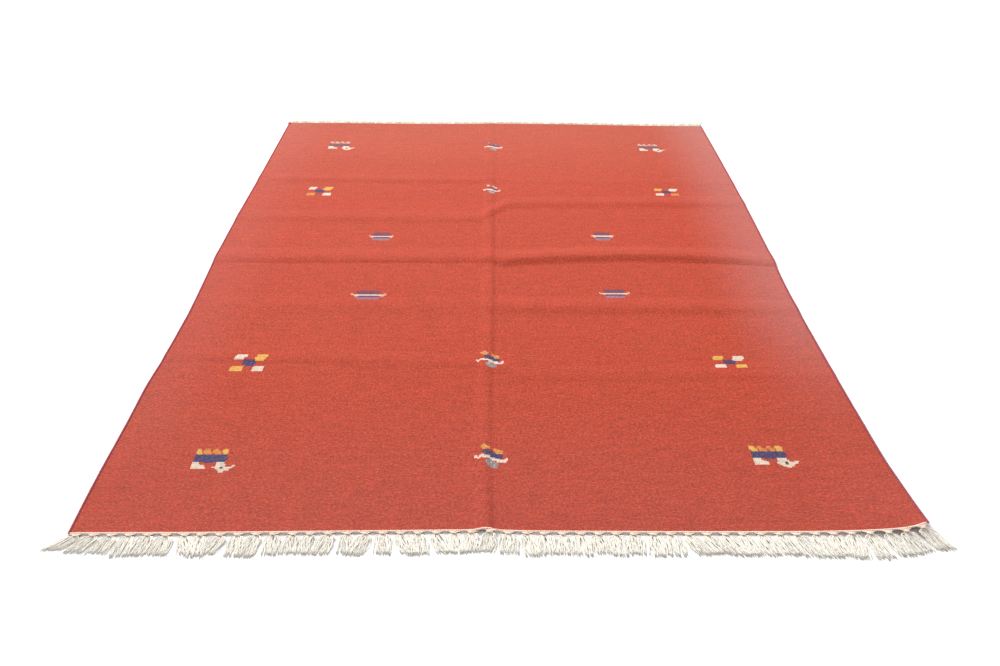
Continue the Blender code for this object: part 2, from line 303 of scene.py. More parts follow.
# A four-legged beast: mane teeth A and B, body C, cream legs, and a head with its beak
BEAST = (
    ".BB...AA...AA...BB",
    ".BBB.AAA..AAA..BBBB",
    ".BBB.AAAA.AAAA.BBBB",
    ".BBBB.AAAA.AAAA.BBB",
    "..BBB.AAAA..AAA.BBB",
    ".CCCCCCCCCCCCCCCCCC",
    ".CCCCCCCCCCCCCCCCCC",
    ".CCCCCCCCCCCCCCCCCCC",
    ".CCCCCCCCCCCCCCCCCCC",
    ".CCCCCCCCCCCCCCCCCCC",
    ".CCCCCCCCCCCCCCCCCC",
    ".cccc..CCCCCC.ccccc",
    ".cccc.........ccccc",
    ".ccccc........cccccc",
    ".ccccccc......cccccc...cc",
    ".cccccccc....cccckkccccc",
    ".cccccccc.....ccckkcccc",
    "...............ccccccc",
    "................cccccc",
    ".................ccc",
)
# Four blocks A to D round a dark centre
CROSS = (
    ".AAAAAA......BBBBBBB",
    "AAAAAAA......BBBBBBB",
    "AAAAAAA......BBBBBBB",
    "AAAAAA......BBBBBBB",
    "AAAAAA......BBBBBBB",
    "......nnnnnn.BBBBB",
    "......nnnnnnnn",
    "......nnnnnnnn",
    "......nnnnnnnn",
    "......nnnnnnn",
    "........nnnnn",
    ".CCCCCC.......DDDDDD",
    "CCCCCCC......DDDDDDD",
    "CCCCCCC......DDDDDDD",
    "CCCCCCC......DDDDDDD",
    "CCCCCCC......DDDDDDD",
)
# A boat: dark cabin, cream deck with its ends turned up a little, mauve hull
BOAT = (
    "....vvvvvvvvvvvv",
    "...vvvvvvvvvvvvvv",
    "...vvvvvvvvvvvvvv",
    "...vvvvvvvvvvvvvv",
    "p...vvvvvvvvvvvv...p",
    "pccccccccccccccccccp",
    ".pcccccccccccccccccp",
    "..ppvvvvvvvvvvvvvpp",
    "....vvvvvvvvvvvv",
    "...llllllllllllll",
    "...lllllllllllll",
    "....llllllllllll",
)
# A dancing figure upside down: two tufts A and B, body C, waving arms, round head
FIGURE = (
    "....AB",
    "...ABAA",
    "...AAABA",
    "....BAAA..AA",
    "....AAA...ABAA",
    ".....CCC..AAABA",
    "....CCCCCC.ABAA",
    ".....CCCCCCCAAA",
    "......CCCCCCCCC",
    "...cc.CCCCCCCCC",
    "c.ccccccCCCCCCC",
    "ccc.cccccccCCCC..c",
    ".c......cccccc..cc",
    ".......lgccccccccc",
    "......glggg.ccccc",
    "......ggclggl",
    "......lggglgg",
    ".......gglcgg",
    ".......lggggl",
    "........gggg",
)

# Where each motif is woven: its middle, its size, and the yarns of its blocks
MOTIF_ROWS = (
    MotifRow(BEAST, -0.6135, 0.224, wide=0.100, deep=0.080, blocks="oyn"),
    MotifRow(BEAST, 0.6095, 0.236, wide=0.100, deep=0.076, blocks="oyn"),
    MotifRow(BEAST, -0.595, 2.136, wide=0.104, deep=0.092, blocks="ppv"),
    MotifRow(BEAST, 0.606, 2.1345, wide=0.100, deep=0.084, blocks="ppv"),
    MotifRow(FIGURE, -0.009, 0.233, wide=0.072, deep=0.080, blocks="oyn"),
    MotifRow(FIGURE, -0.011, 0.615, wide=0.070, deep=0.078, blocks="opn"),
    MotifRow(FIGURE, -0.010, 1.706, wide=0.062, deep=0.080, blocks="ppv"),
    MotifRow(FIGURE, -0.0055, 2.132, wide=0.070, deep=0.086, blocks="vpv"),
    MotifRow(CROSS, -0.623, 0.604, wide=0.084, deep=0.072, blocks="cyyc"),
    MotifRow(CROSS, 0.600, 0.609, wide=0.082, deep=0.054, blocks="yccy"),
    MotifRow(CROSS, -0.610, 1.689, wide=0.086, deep=0.072, blocks="cyoc"),
    MotifRow(CROSS, 0.599, 1.696, wide=0.082, deep=0.062, blocks="ycco"),
    MotifRow(BOAT, -0.359, 0.951, wide=0.100, deep=0.050, blocks=""),
    MotifRow(BOAT, 0.346, 0.961, wide=0.086, deep=0.050, blocks=""),
    MotifRow(BOAT, -0.357, 1.330, wide=0.076, deep=0.056, blocks=""),
    MotifRow(BOAT, 0.343, 1.334, wide=0.070, deep=0.056, blocks=""),
)


def linear(code):
    """The linear colour of an sRGB hex code."""
    shades = [int(code[i : i + 2], 16) / 255 for i in (1, 3, 5)]
    return [s / 12.92 if s <= 0.04045 else ((s + 0.055) / 1.055) ** 2.4 for s in shades] + [1.0]


def add(tree, kind, inputs=None, **settings):
    """Add a node with its settings, and give its inputs values or links."""
    node = tree.nodes.new(kind)
    for name, value in settings.items():
        setattr(node, name, value)
    for name, value in (inputs or {}).items():
        if isinstance(value, bpy.types.NodeSocket):
            tree.links.new(value, node.inputs[name])
        else:
            node.inputs[name].default_value = value
    return node


# ---------------------------------------------------------------- how the cloth lies


def read(rows, place, key, column, soften=0.0):
    """Read a column of a table at places between its rows, with its corners rounded off."""
    keys = [getattr(row, key) for row in rows]
    values = [getattr(row, column) for row in rows]
    steps = np.linspace(-soften, soften, 7)
    return sum(np.interp(place + step, keys, values) for step in steps) / len(steps)


def loom_to_floor(across, along):
    """Where points of the cloth come on the floor, with the middle of the loom at the origin."""
    left = read(SIDE_ROWS, along, "along", "left", SIDE_SOFTEN)
    right = read(SIDE_ROWS, along, "along", "right", SIDE_SOFTEN)
    near = read(END_ROWS, across, "across", "near", END_SOFTEN)
    far = read(END_ROWS, across, "across", "far", END_SOFTEN)
    part_across = across / RUG_WIDTH + 0.5
    part_along = np.clip(along / RUG_LENGTH, 0.0, 1.0)
    x = across + right * part_across - left * (1.0 - part_across)
    y = along - near * (1.0 - part_along) ** NEAR_FADE + far * part_along**FAR_FADE
    return x, y - RUG_LENGTH / 2


def lay(across, along):
    """Where points of the cloth come in the frame: their x and y."""
    x, y = loom_to_floor(across, along)
    return x + SHIFT_X, y + SHIFT_Y


def ridge(distance, half, power=2):
    """Height of a soft ridge of height 1, at a distance from its crest."""
    part = np.minimum(np.abs(distance) / half, 1.0)
    return (1.0 - part * part) ** power


def waves(across, along, seed, count, shortest, longest):
    """Gentle uneven swells, from -1 to 1, as a sum of waves in all directions."""
    random = np.random.default_rng(seed)
    total = 0.0
    for _ in range(count):
        length = random.uniform(shortest, longest)
        turn = random.uniform(0.0, math.pi)
        start = random.uniform(0.0, 2 * math.pi)
        run = across * math.cos(turn) + along * math.sin(turn)
        total = total + np.sin(2 * math.pi * run / length + start)
    return total / count


def cloth_lift(across, along):
    """Height of the cloth's underside over the floor, without the narrow creases."""
    from_crest = across - read(CREASE_LINE, along, "along", "across", CREST_SOFTEN)
    flank = np.where(from_crest < 0, CREASE_LEFT, CREASE_RIGHT)
    crest_rise = read(CREASE_LINE, along, "along", "rise", CREST_SOFTEN)
    lift = crest_rise * ridge(from_crest, flank)
    flat = np.clip((np.abs(across) - FLAT_FROM) / (RUG_WIDTH / 2 - FLAT_FROM), 0.0, 1.0)
    part = np.clip((across - FOLD_MID) / (RUG_WIDTH / 2 - FOLD_MID), 0.0, 1.0)
    for fold in FOLD_ROWS:
        places = (-RUG_WIDTH / 2, -FOLD_MID, FOLD_MID, RUG_WIDTH / 2)
        crest = np.interp(across, places, fold[:4]) + fold.bow * 4 * part * (1 - part)
        rise = np.interp(across, (-FOLD_MID, FOLD_MID), (fold.left_rise, fold.right_rise))
        half = np.where(along < crest, NEAR_FLANK, 1.0) * fold.half
        power = np.where(along < crest, NEAR_POWER, FAR_POWER)
        lift = lift + rise * (1.0 - FLAT_BY * flat) * ridge(along - crest, half, power)
    from_corner = np.hypot(RUG_WIDTH / 2 - across, np.maximum(along, 0.0))
    return lift + CORNER_RISE * np.maximum(1.0 - from_corner / CORNER_REACH, 0.0) ** 2


def narrow_creases(across, along):
    """What the narrow creases add to the height of the cloth."""
    height = 0.0 * across
    for row in CREASE_ROWS:
        line = np.interp(across, (row.start, row.end), (row.along_start, row.along_end))
        wander = waves(across, 0.0, seed=5, count=4, shortest=0.15, longest=0.5)
        line = line + CREASE_WANDER * wander
        from_end = np.minimum(across - row.start, row.end - across)
        inside = np.clip(from_end / CREASE_FADE + CREASE_END_PART, 0, 1)
        height = height + row.rise * inside * ridge(along - line, row.half)
    return height


def cloth_top(across, along):
    """Height of the upper face of the cloth."""
    swells = waves(across, along, seed=3, count=14, shortest=0.05, longest=0.30)
    ribs = waves(RIB_STRETCH * across, along, seed=4, count=8, shortest=0.02, longest=0.09)
    uneven = SWELL_RISE * swells + RIB_RISE * ribs
    top = cloth_lift(across, along) + narrow_creases(across, along) + uneven
    return np.maximum(top, 0.0) + CLOTH_THICK


def cloth_underside(across, along):
    """Height of the underside, without the narrow creases."""
    return np.maximum(cloth_lift(across, along) - UNDERSIDE_DROP, 0.0)


# ---------------------------------------------------------------- making pieces


def add_piece(name, points, faces, material, slot, node, **values):
    """Make a piece, with values kept on its points, in place of a node of the frame."""
    mesh = bpy.data.meshes.new(name)
    mesh.from_pydata(points.tolist(), [], faces)
    mesh.materials.append(material)
    mesh.polygons.foreach_set("use_smooth", [True] * len(faces))
    for label, numbers in values.items():
        layer = mesh.attributes.new(label, "FLOAT_VECTOR", "POINT")
        layer.data.foreach_set("vector", np.asarray(numbers, np.float32).ravel())
    piece = bpy.data.objects.new(name, mesh)
    bpy.context.scene.collection.objects.link(piece)
    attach(piece, "root")
    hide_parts(node)
    return piece


def unit(vectors):
    """The same directions with length 1."""
    return vectors / np.maximum(np.linalg.norm(vectors, axis=-1, keepdims=True), 1e-12)


def yarn_tubes(paths, radii, sides):
    """Round yarns along paths: their points, faces, and place along and round each yarn.

    paths is yarns x rings x 3, and radii is yarns x rings.
    """
    yarns, rings = paths.shape[:2]
    along = unit(np.gradient(paths, axis=1))
    # The first ring is turned by a direction that no yarn follows, and the rest by the one before
    normal = unit(np.cross(along[:, 0], (0.0, 0.13, 1.0)))
    normals = np.empty_like(paths)
    for ring in range(rings):
        normal = unit(normal - along[:, ring] * np.sum(normal * along[:, ring], -1, keepdims=True))
        normals[:, ring] = normal
    beside = np.cross(along, normals)
    turn = np.arange(sides) * 2 * math.pi / sides
    up_part = normals[:, :, None] * np.cos(turn)[:, None]
    side_part = beside[:, :, None] * np.sin(turn)[:, None]
    points = paths[:, :, None] + radii[:, :, None, None] * (up_part + side_part)
    steps = np.linalg.norm(np.diff(paths, axis=1), axis=-1)
    run = np.concatenate([np.zeros((yarns, 1)), np.cumsum(steps, axis=1)], axis=1)
    place = np.empty(points.shape)
    place[..., 0] = run[:, :, None]
    place[..., 1] = turn / (2 * math.pi)
    place[..., 2] = np.arange(yarns)[:, None, None]
    first = (np.arange(yarns) * rings * sides)[:, None, None]
    first = first + (np.arange(rings - 1) * sides)[:, None] + np.arange(sides)
    beside_it = first - np.arange(sides) + (np.arange(sides) + 1) % sides
    quads = np.stack([first, beside_it, beside_it + sides, first + sides], -1).reshape(-1, 4)
    faces = quads.tolist()
    for yarn in range(yarns):
        base = yarn * rings * sides
        faces.append(list(range(base + sides - 1, base - 1, -1)))
        faces.append(list(range(base + (rings - 1) * sides, base + rings * sides)))
    return points.reshape(-1, 3), faces, place.reshape(-1, 3)


def join(*sets):
    """Join sets of points, faces and places into one set."""
    points, faces, places = [], [], []
    count = 0
    for some_points, some_faces, some_places in sets:
        faces.extend([[corner + count for corner in face] for face in some_faces])
        points.append(some_points)
        places.append(some_places)
        count += len(some_points)
    return np.concatenate(points), faces, np.concatenate(places)


# ---------------------------------------------------------------- the woven field


def spaced(low, high, zones, plain, fine):
    """Places from low to high, close together inside the zones."""
    places = [low]
    while places[-1] < high - fine / 2:
        here = places[-1]
        if any(start <= here < end for start, end in zones):
            places.append(here + fine)
            continue
        nearest = min([start for start, end in zones if start > here], default=high)
        room = nearest - here
        step = room / max(round(room / plain), 1) if room < 2 * plain else plain
        places.append(here + step)
    places[-1] = high
    return np.array(places)


def yarn_of(across, along):
    """The letter of the yarn that is woven at a place, or None for the red ground."""
    for motif in MOTIF_ROWS:
        part_across = (across - motif.across) / motif.wide + 0.5
        part_along = 0.5 - (along - motif.along) / motif.deep
        if 0.0 <= part_across < 1.0 and 0.0 <= part_along < 1.0:
            columns = max(len(row) for row in motif.chart)
            row = motif.chart[int(part_along * len(motif.chart))]
            column = int(part_across * columns)
            letter = row[column] if column < len(row) else "."
            if letter in "ABCD":
                return motif.blocks["ABCD".index(letter)]
            return None if letter == "." else letter
    return None


def field_lines():
    """Where the mesh lines of the field run: places across, and places along."""
    side = RUG_WIDTH / 2 - SELVEDGE_WIDE - PIECE_GAP
    end = END_CORD_DEEP + PIECE_GAP
    wide, deep = [], [MAIN_FOLD_ZONE]
    for motif in MOTIF_ROWS:
        half_wide = motif.wide / 2 + FINE_MARGIN
        half_deep = motif.deep / 2 + FINE_MARGIN
        wide.append((motif.across - half_wide, motif.across + half_wide))
        deep.append((motif.along - half_deep, motif.along + half_deep))
    across = spaced(-side, side, wide, PLAIN_ACROSS, FINE_ACROSS)
    along = spaced(end, RUG_LENGTH - end, deep, PLAIN_ALONG, FINE_ALONG)
    return across, along


def field_faces(columns, rows, under_columns, under_rows):
    """The field's faces, and how many of them are upper ones: first the upper face with all its
    columns and rows of points, then the underside with some of them, then the rim between."""
    i, j = np.meshgrid(np.arange(columns - 1), np.arange(rows - 1), indexing="ij")
    corner = i * rows + j
    faces = np.stack([corner, corner + rows, corner + rows + 1, corner + 1], -1)
    faces = faces.reshape(-1, 4).tolist()
    upper_count = len(faces)

    low = columns * rows
    width = len(under_rows)
    for i in range(len(under_columns) - 1):
        for j in range(width - 1):
            corner = low + i * width + j
            faces.append([corner, corner + 1, corner + width + 1, corner + width])
    for i in range(len(under_columns) - 1):
        left, right = under_columns[i], under_columns[i + 1]
        near = [k * rows for k in range(right, left - 1, -1)]
        faces.append([low + i * width, low + (i + 1) * width, *near])
        far = [k * rows + rows - 1 for k in range(left, right + 1)]
        last = low + i * width + width - 1
        faces.append([last + width, last, *far])
    for j in range(width - 1):
        near, far = under_rows[j], under_rows[j + 1]
        faces.append([low + j + 1, low + j, *range(near, far + 1)])
        base = (columns - 1) * rows
        last = low + (len(under_columns) - 1) * width + j
        faces.append([last, last + 1, *[base + k for k in range(far, near - 1, -1)]])
    return faces, upper_count


def dye_field(mesh, across, along, sizes):
    """Give each upper face the colour of its yarn, and all the others the red ground."""
    red = linear(GROUND_RED)
    dyed = {letter: linear(code) for letter, code in YARNS.items()}
    colours = []
    for place_across in (across[1:] + across[:-1]) / 2:
        for place_along in (along[1:] + along[:-1]) / 2:
            letter = yarn_of(place_across, place_along)
            colours.append(dyed[letter] if letter else red)
    colours.extend([red] * (len(sizes) - len(colours)))
    dye = mesh.color_attributes.new("dye", "FLOAT_COLOR", "CORNER")
    dye.data.foreach_set("color", np.repeat(np.array(colours), sizes, axis=0).ravel())


def map_field(mesh, loom, sizes, upper_count):
    """Lay the upper face out in the flat map, and beside it a small copy of the underside."""
    flat_map = mesh.uv_layers.new(name="OFBake")
    corners = np.empty(len(mesh.loops), np.int32)
    mesh.loops.foreach_get("vertex_index", corners)
    flat = (loom[corners, :2] + (RUG_WIDTH / 2, 0.0)) / MAP_SIDE + MAP_MARGIN
    under = np.repeat(np.arange(len(sizes)) >= upper_count, sizes)
    flat[under] = UNDER_MAP_MIDDLE + (flat[under] - TOP_MAP_MIDDLE) * UNDER_MAP_SCALE
    flat_map.uv.foreach_set("vector", flat.astype(np.float32).ravel())


def kilim_field(material):
    """The red cloth with its motifs: a fine upper face, a plain underside and a rim."""
    across, along = field_lines()
    columns, rows = len(across), len(along)
    under_columns = sorted({*range(0, columns, UNDERSIDE_STEP), columns - 1})
    under_rows = sorted({*range(0, rows, UNDERSIDE_STEP), rows - 1})
    points, loom = [], []
    for lines_across, lines_along, height in (
        (across, along, cloth_top),
        (across[under_columns], along[under_rows], cloth_underside),
    ):
        a, b = np.meshgrid(lines_across, lines_along, indexing="ij")
        x, y = lay(a, b)
        points.append(np.stack([x, y, height(a, b)], -1).reshape(-1, 3))
        loom.append(np.stack([a, b, 0 * a], -1).reshape(-1, 3))
    loom = np.concatenate(loom)
    faces, upper_count = field_faces(columns, rows, under_columns, under_rows)
    piece = add_piece(
        "kilim_field", np.concatenate(points), faces, material, "red_wool", "woven_field",
        loom=loom,
    )
    sizes = [len(face) for face in faces]
    dye_field(piece.data, across, along, sizes)
    map_field(piece.data, loom, sizes, upper_count)
    piece.data.set_sharp_from_angle(angle=math.radians(50))
    return piece


# ---------------------------------------------------------------- edge finishes


def selvedge(name, node, side, material):
    """Wool overcast round the outer warps, one turn beside another."""
    steps = 8
    turns = int(RUG_LENGTH / TURN_PITCH) - 1
    count = turns * steps
    t = np.arange(count) / steps
    along = TURN_PITCH / 2 + t * (RUG_LENGTH - TURN_PITCH) / turns
    wobble = waves(along, 0.0, seed=21 + side, count=6, shortest=0.008, longest=0.05)
    wobble = 1.0 + 0.12 * wobble
    if side < 0:
        wobble = wobble + END_KNOT_SWELL * ridge(along - END_KNOT_AT, END_KNOT_HALF)
    angle = 2 * math.pi * t
    middle = side * (RUG_WIDTH - SELVEDGE_WIDE) / 2
    x, y = lay(middle + TURN_ASIDE * wobble * np.cos(angle), along)
    lift = np.maximum(cloth_lift(np.full(count, middle), along), 0.0)
    z = lift + SELVEDGE_HIGH / 2 + TURN_RAISE + TURN_UP * wobble * np.sin(angle)
    radii = TURN_YARN * wobble
    path = np.stack([x, y, np.maximum(z, radii)], -1)
    points, faces, place = yarn_tubes(path[None], radii[None], 5)
    return add_piece(name, points, faces, material, "crimson_wool", node, yarn=place)


def twined_cord(name, node, middle, seed, material):
    """Two cotton strands twined together across the end, to hold the weft."""
    limit = RUG_WIDTH / 2 - SELVEDGE_WIDE - PIECE_GAP - TWINE_SHORT
    steps = 10
    count = int(2 * limit / TWINE_PITCH * steps)
    across = np.linspace(-limit, limit, count)
    wobble = 1.0 + 0.15 * waves(across, 0.0, seed, count=8, shortest=0.006, longest=0.05)
    lift = cloth_lift(across, np.full(count, middle))
    paths = []
    for strand in (0.0, math.pi):
        angle = 2 * math.pi * across / TWINE_PITCH + strand
        x, y = lay(across, middle + TWINE_WIND * np.cos(angle))
        z = lift + END_CORD_HIGH / 2 + TWINE_RAISE + TWINE_WIND * np.sin(angle)
        paths.append(np.stack([x, y, z], -1))
    radii = np.stack([TWINE_STRAND * wobble] * 2)
    points, faces, place = yarn_tubes(np.array(paths), radii, 6)
    return add_piece(name, points, faces, material, "cream_cotton", node, yarn=place)


def smooth_line(stops, count):
    """A smooth line through stops, yarns x stops x 3, with that many places on it."""
    before = 2 * stops[:, :1] - stops[:, 1:2]
    after = 2 * stops[:, -1:] - stops[:, -2:-1]
    stops = np.concatenate([before, stops, after], 1)
    spans = stops.shape[1] - 3
    t = np.linspace(0.0, spans - 1e-6, count)
    span = t.astype(int)
    u = (t - span)[None, :, None]
    p0, p1, p2, p3 = (stops[:, span + k] for k in range(4))
    return 0.5 * (
        2 * p1 + (p2 - p0) * u + (2 * p0 - 5 * p1 + 4 * p2 - p3) * u**2
        + (3 * p1 - p0 - 3 * p2 + p3) * u**3
    )


Tassel = namedtuple("Tassel", "root knot knot_lean knot_out knot_high tip reach spread lift")


def new_tassel(root, end, leans, partings, random):
    """How a tassel lies: where it is knotted, and where its yarns lead, all in metres."""
    knot = root + random.uniform(-TASSEL_JITTER, TASSEL_JITTER)
    jitter = random.uniform(-TASSEL_JITTER, TASSEL_JITTER)
    lean = float(read(leans, root, "across", "lean")) + jitter
    reach = float(read(leans, root, "across", "reach")) + random.uniform(*REACH_JITTER)
    spread = random.uniform(*TASSEL_SPREAD)
    clear = spread + PARTING_HALF
    tip = knot + lean
    for parting in partings:
        if abs(tip - parting) < clear:
            tip = parting + math.copysign(clear, tip - parting)
    knot_out = random.uniform(*KNOT_OUT)
    lift = float(cloth_lift(np.array(root), np.array(end)))
    return Tassel(root, knot, 0.05 * lean, knot_out, 0.7 * lift + 0.0040, tip, reach, spread, lift)


def yarn_stops(tassel, part, random):
    """The stops of one yarn, as across, out from the cloth and up: from under the end cord,
    through the knot, to the tip. part is its place in the bunch, from -1 to 1."""
    root, knot, knot_lean, knot_out, knot_high, tip, reach, spread, lift = tassel
    beside = part + random.uniform(-0.15, 0.15)
    length = random.uniform(0.90, 1.04)
    sway = random.uniform(-YARN_SWAY, YARN_SWAY, len(YARN_SHARES))
    layer = random.uniform(0.0, 1.0)
    stops = [
        (root + part * TASSEL_PITCH * 0.42, -0.0024, lift + 0.0024),
        (root + part * TASSEL_PITCH * 0.22, 0.0016, lift + 0.0030 + 0.0008 * layer),
        (knot + beside * 0.0042, knot_out - 0.0012, knot_high + 0.0012 * (layer - 0.5)),
        (knot + knot_lean + beside * 0.0060, knot_out + 0.0024, knot_high - 0.0004),
    ]
    for (leaning, spreading, outward), swing in zip(YARN_SHARES, sway):
        stops.append((
            knot + leaning * (tip - knot) + beside * spread * spreading + swing,
            knot_out + outward * (reach - knot_out),
            (1 - outward) ** 2 * (0.6 * lift + 0.0028) + 0.0010 + 0.0013 * layer,
        ))
    stops.append((
        tip + beside * spread + 1.5 * sway[-1],
        knot_out + length * (reach - knot_out),
        0.0008 + 0.0004 * layer,
    ))
    return stops


def knot_wrap(tassel):
    """The yarn wound round the knot, as a line of places."""
    turn = np.linspace(0.0, WRAP_TURNS * 2 * math.pi, WRAP_RINGS)
    slide = np.linspace(-WRAP_HALF, WRAP_HALF, WRAP_RINGS)
    return np.stack([
        tassel.knot + 0.5 * tassel.knot_lean + WRAP_WIDE * np.cos(turn) + 0.0006 * np.sin(turn / 2),
        tassel.knot_out + slide + 0.0010 * np.cos(turn),
        tassel.knot_high + 0.0003 + WRAP_HIGH * np.sin(turn),
    ], -1)


def tassels(name, node, far_end, leans, partings, seed, material):
    """The warp ends in bunches, each knotted close to the end cord and left to fray."""
    random = np.random.default_rng(seed)
    end = RUG_LENGTH if far_end else 0.0
    out_sign = 1.0 if far_end else -1.0
    yarns, thick, wraps, wrap_thick = [], [], [], []
    for i in range(TASSEL_COUNT):
        root = -RUG_WIDTH / 2 + TASSEL_PITCH * (i + 0.5)
        tassel = new_tassel(root, end, leans, partings, random)
        for part in np.linspace(-1.0, 1.0, int(random.integers(*YARN_COUNT))):
            yarns.append(yarn_stops(tassel, part, random))
            thick.append(random.uniform(*YARN_RADIUS))
        wraps.append(knot_wrap(tassel))
        wrap_thick.append(np.full(WRAP_RINGS, random.uniform(*WRAP_RADIUS)))

    lines = smooth_line(np.array(yarns), TASSEL_RINGS)
    run = np.linspace(0.0, 1.0, TASSEL_RINGS)
    phase = random.uniform(0.0, 2 * math.pi, (len(lines), 1))
    lines[..., 0] += CRIMP * np.sin(run * CRIMP_RADIANS + phase) * np.clip(run * 3 - 0.9, 0, 1)
    radii = np.array(thick)[:, None] * (1.0 - YARN_TAPER * run**3)
    sets, tints = [], []
    for lot, thickness, sides in ((lines, radii, 4), (np.array(wraps), np.array(wrap_thick), 6)):
        tint = np.clip((BLEED_REACH - lot[..., 1]) / BLEED_REACH, 0.0, 1.0)
        tints.append(np.repeat(tint.ravel(), sides))
        x, y = lay(lot[..., 0], end + out_sign * lot[..., 1])
        laid = np.stack([x, y, np.maximum(lot[..., 2], thickness)], -1)
        sets.append(yarn_tubes(laid, thickness, sides))
    points, faces, place = join(*sets)
    bled = np.repeat(np.concatenate(tints)[:, None], 3, axis=1)
    return add_piece(
        name, points, faces, material, "cream_cotton", node, yarn=place, bled=bled,
    )


# ---------------------------------------------------------------- finishes


def new_finish(name, roughness, sheen, sheen_tint):
    """A fibre finish: its tree and its shader, with what is the same all over. Wool and cotton
    both have an IOR near 1.54, and their fibres scatter light and hardly shine."""
    material = bpy.data.materials.new(name)
    material.use_nodes = True
    tree = material.node_tree
    shader = tree.nodes["Principled BSDF"]
    shader.inputs["Roughness"].default_value = roughness
    shader.inputs["IOR"].default_value = 1.54
    shader.inputs["Specular IOR Level"].default_value = 0.12
    shader.inputs["Sheen Weight"].default_value = sheen
    shader.inputs["Sheen Roughness"].default_value = 0.30
    shader.inputs["Sheen Tint"].default_value = linear(sheen_tint)
    return material, tree, shader


def flatwoven_wool():
    """Hand-dyed wool, weft-faced plain weave: beads of weft over each warp, in ribs along
    the rug. The dye took unevenly, so picks differ in strength and carded fibres of a
    lighter and a darker shade show as specks, with a soft fuzz at grazing angles."""
    material, tree, shader = new_finish("flatwoven_wool", 0.90, 0.10, "#F6CFC2")
    loom = add(tree, "ShaderNodeAttribute", attribute_name="loom").outputs["Vector"]
    dye = add(tree, "ShaderNodeAttribute", attribute_name="dye").outputs["Color"]

    # Beads, some lighter and some darker, with a little shade in the hollow between them. Their
    # rows follow the warps, so the brick pattern is turned a quarter
    turned = add(tree, "ShaderNodeMapping", {"Vector": loom, "Rotation": (0, 0, math.pi / 2)})
    beads = add(tree, "ShaderNodeTexBrick", {
        "Vector": turned.outputs[0],
        "Color1": (0.80, 0.80, 0.80, 1),
        "Color2": (1.22, 1.22, 1.22, 1),
        "Mortar": (0.86, 0.86, 0.86, 1),
        "Scale": 1.0,
        "Mortar Size": 0.0011,
        "Mortar Smooth": 1.0,
        "Brick Width": WEFT_BEAD,
        "Row Height": WARP_PITCH,
    }, offset=0.5)

    def fleck(long_across, long_along, low, high, detail=2.0):
        """Noise with flecks of a real size across and along, from low to high."""
        stretched = add(tree, "ShaderNodeMapping", {
            "Vector": loom, "Scale": (1 / long_across, 1 / long_along, 1),
        })
        noise = add(tree, "ShaderNodeTexNoise", {
            "Vector": stretched.outputs[0], "Scale": 1.0, "Detail": detail, "Roughness": 0.6,
        })
        return add(tree, "ShaderNodeMapRange", {
            "Value": noise.outputs[0],
            "From Min": 0.28, "From Max": 0.72, "To Min": low, "To Max": high,
        }).outputs[0]

    # Picks with 13 mm of one shade, slubs of 5 mm, streaks a finger long, and dye bands a hand's
    # breadth apart. A real pick is 1 mm deep, and is drawn 3.6 mm deep so that it shows
    dashes = fleck(0.013, 0.0036, low=0.78, high=1.18)
    streaks = fleck(0.050, 0.014, low=0.88, high=1.12)
    bands = fleck(0.90, 0.10, low=0.97, high=1.03)
    slubs = fleck(0.0052, 0.0050, low=0.82, high=1.16, detail=3.0)
    fine = add(tree, "ShaderNodeMath", {0: dashes, 1: streaks}, operation="MULTIPLY")
    broad = add(tree, "ShaderNodeMath", {0: bands, 1: slubs}, operation="MULTIPLY")
    shade = add(tree, "ShaderNodeMath", {0: fine.outputs[0], 1: broad.outputs[0]},
                operation="MULTIPLY")
    warmth = fleck(0.35, 0.22, low=0.4990, high=0.5010)
    toned = add(tree, "ShaderNodeHueSaturation", {
        "Hue": warmth, "Saturation": 1.0, "Value": shade.outputs[0], "Color": dye,
    })
    woven = add(tree, "ShaderNodeMix", {0: 1.0, 6: toned.outputs[0], 7: beads.outputs[0]},
                data_type="RGBA", blend_type="MULTIPLY")

    # Pale fibres carded into the wool. Then painted sheen that pales the far end, painted haze that
    # pales the sides, and a grey toward the near end, by metres across and along
    pale = fleck(0.0056, 0.0046, low=-0.14, high=0.20, detail=3.0)
    parts = add(tree, "ShaderNodeSeparateXYZ", {0: loom}).outputs
    # Painted haze that pales the sides: much on the right, more toward the far end, and a little on the
    # left
    right = add(tree, "ShaderNodeMapRange", {
        "Value": parts[0], "From Min": 0.60, "From Max": 0.86, "To Min": 0.0, "To Max": 0.14,
    }, interpolation_type="SMOOTHSTEP").outputs[0]
    open_end = add(tree, "ShaderNodeMapRange", {
        "Value": parts[1], "From Min": 0.25, "From Max": 0.90, "To Min": 0.08, "To Max": 1.0,
    }, interpolation_type="SMOOTHSTEP").outputs[0]
    left_most = add(tree, "ShaderNodeMapRange", {
        "Value": parts[1], "From Min": 0.10, "From Max": 0.45, "To Min": 0.0, "To Max": 0.035,
    }).outputs[0]
    left = add(tree, "ShaderNodeMapRange", {
        "Value": parts[0], "From Min": -0.62, "From Max": -0.86, "To Min": 0.0, "To Max": left_most,
    }, interpolation_type="SMOOTHSTEP").outputs[0]
    # The near end goes a little greyer
    near = add(tree, "ShaderNodeMapRange", {
        "Value": parts[1], "From Min": 0.50, "From Max": 0.0, "To Min": 0.0, "To Max": 0.055,
    }).outputs[0]
    # Painted sheen: the far end goes paler, as fuzz lit from beyond it at a low angle would look
    far = add(tree, "ShaderNodeMapRange", {
        "Value": parts[1], "From Min": 1.60, "From Max": 2.40, "To Min": 0.0, "To Max": 0.06,
    }, interpolation_type="SMOOTHSTEP").outputs[0]
